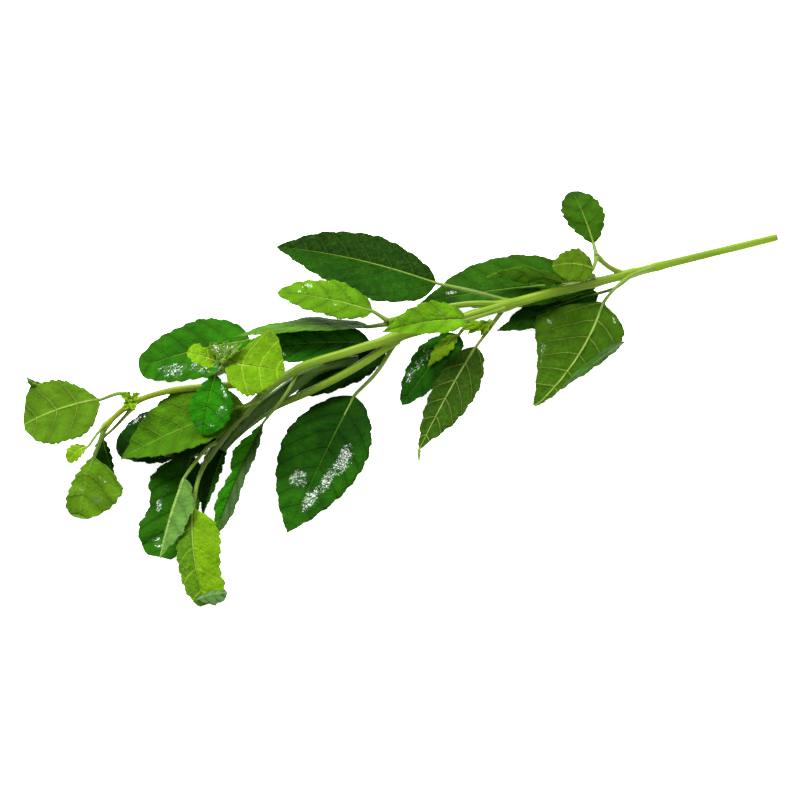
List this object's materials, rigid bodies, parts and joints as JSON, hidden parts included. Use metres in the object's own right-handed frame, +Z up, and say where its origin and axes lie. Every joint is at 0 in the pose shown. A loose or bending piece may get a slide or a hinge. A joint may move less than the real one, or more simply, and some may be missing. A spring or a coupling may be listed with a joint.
{
  "type": "basil bunch",
  "caption": "Cut sprig of fresh basil lying flat: a branched stem with opposite toothed leaves, side shoots and small tip buds.",
  "frame": {"origin": "centre of the bounding box in plan, on the table plane that the sprig lies on", "axes": "+X runs along the sprig towards the cut end of the stem, +Z is up from the table, +Y is to the left when looking along +X"},
  "size_m": [0.2541, 0.1538, 0.0386],
  "materials": {
    "stem": "satin, smooth green stem skin",
    "leaf_mature": "satin waxy leaf, mid-green top",
    "leaf_gloss": "glossy dark green leaf top, wet in places",
    "leaf_shade": "satin dark green leaf that lies below others",
    "leaf_light": "satin light green leaf top",
    "leaf_pale": "matt pale green leaf underside with raised veins",
    "leaf_young": "satin yellow-green young leaf"
  },
  "bodies": {
    "root": {"stem": "stem", "leaf_under_stem": "leaf_mature", "leaf_under_low": "leaf_gloss", "leaf_small_top": "leaf_mature", "leaf_small_back": "leaf_pale", "leaf_edge_back": "leaf_mature", "leaf_rolled_right": "leaf_pale", "leaf_back_large": "leaf_mature", "leaf_fork_pale": "leaf_light", "leaf_hanging_long": "leaf_pale", "leaf_hanging_dark": "leaf_gloss", "leaf_front_large": "leaf_gloss", "leaf_under_fork": "leaf_shade", "leaf_light_back": "leaf_light", "leaf_edge_long": "leaf_light", "leaf_dark_long": "leaf_gloss", "leaf_round_left": "leaf_mature", "leaf_young_top": "leaf_young", "leaf_young_small": "leaf_young", "leaf_dark_top": "leaf_gloss", "leaf_wide_left": "leaf_pale", "leaf_wide_under": "leaf_shade", "leaf_far_round": "leaf_pale", "leaf_far_low": "leaf_pale", "leaf_far_tiny": "leaf_young", "leaf_far_inner": "leaf_shade", "leaf_bottom_dark": "leaf_gloss", "leaf_bottom_folded": "leaf_pale", "leaf_bottom_bright": "leaf_young", "leaf_front_folded": "leaf_mature", "leaf_front_inner": "leaf_shade", "bud_far_left": "leaf_young", "bud_top": "leaf_light", "bud_fork": "leaf_young"}
  },
  "joints": []
}
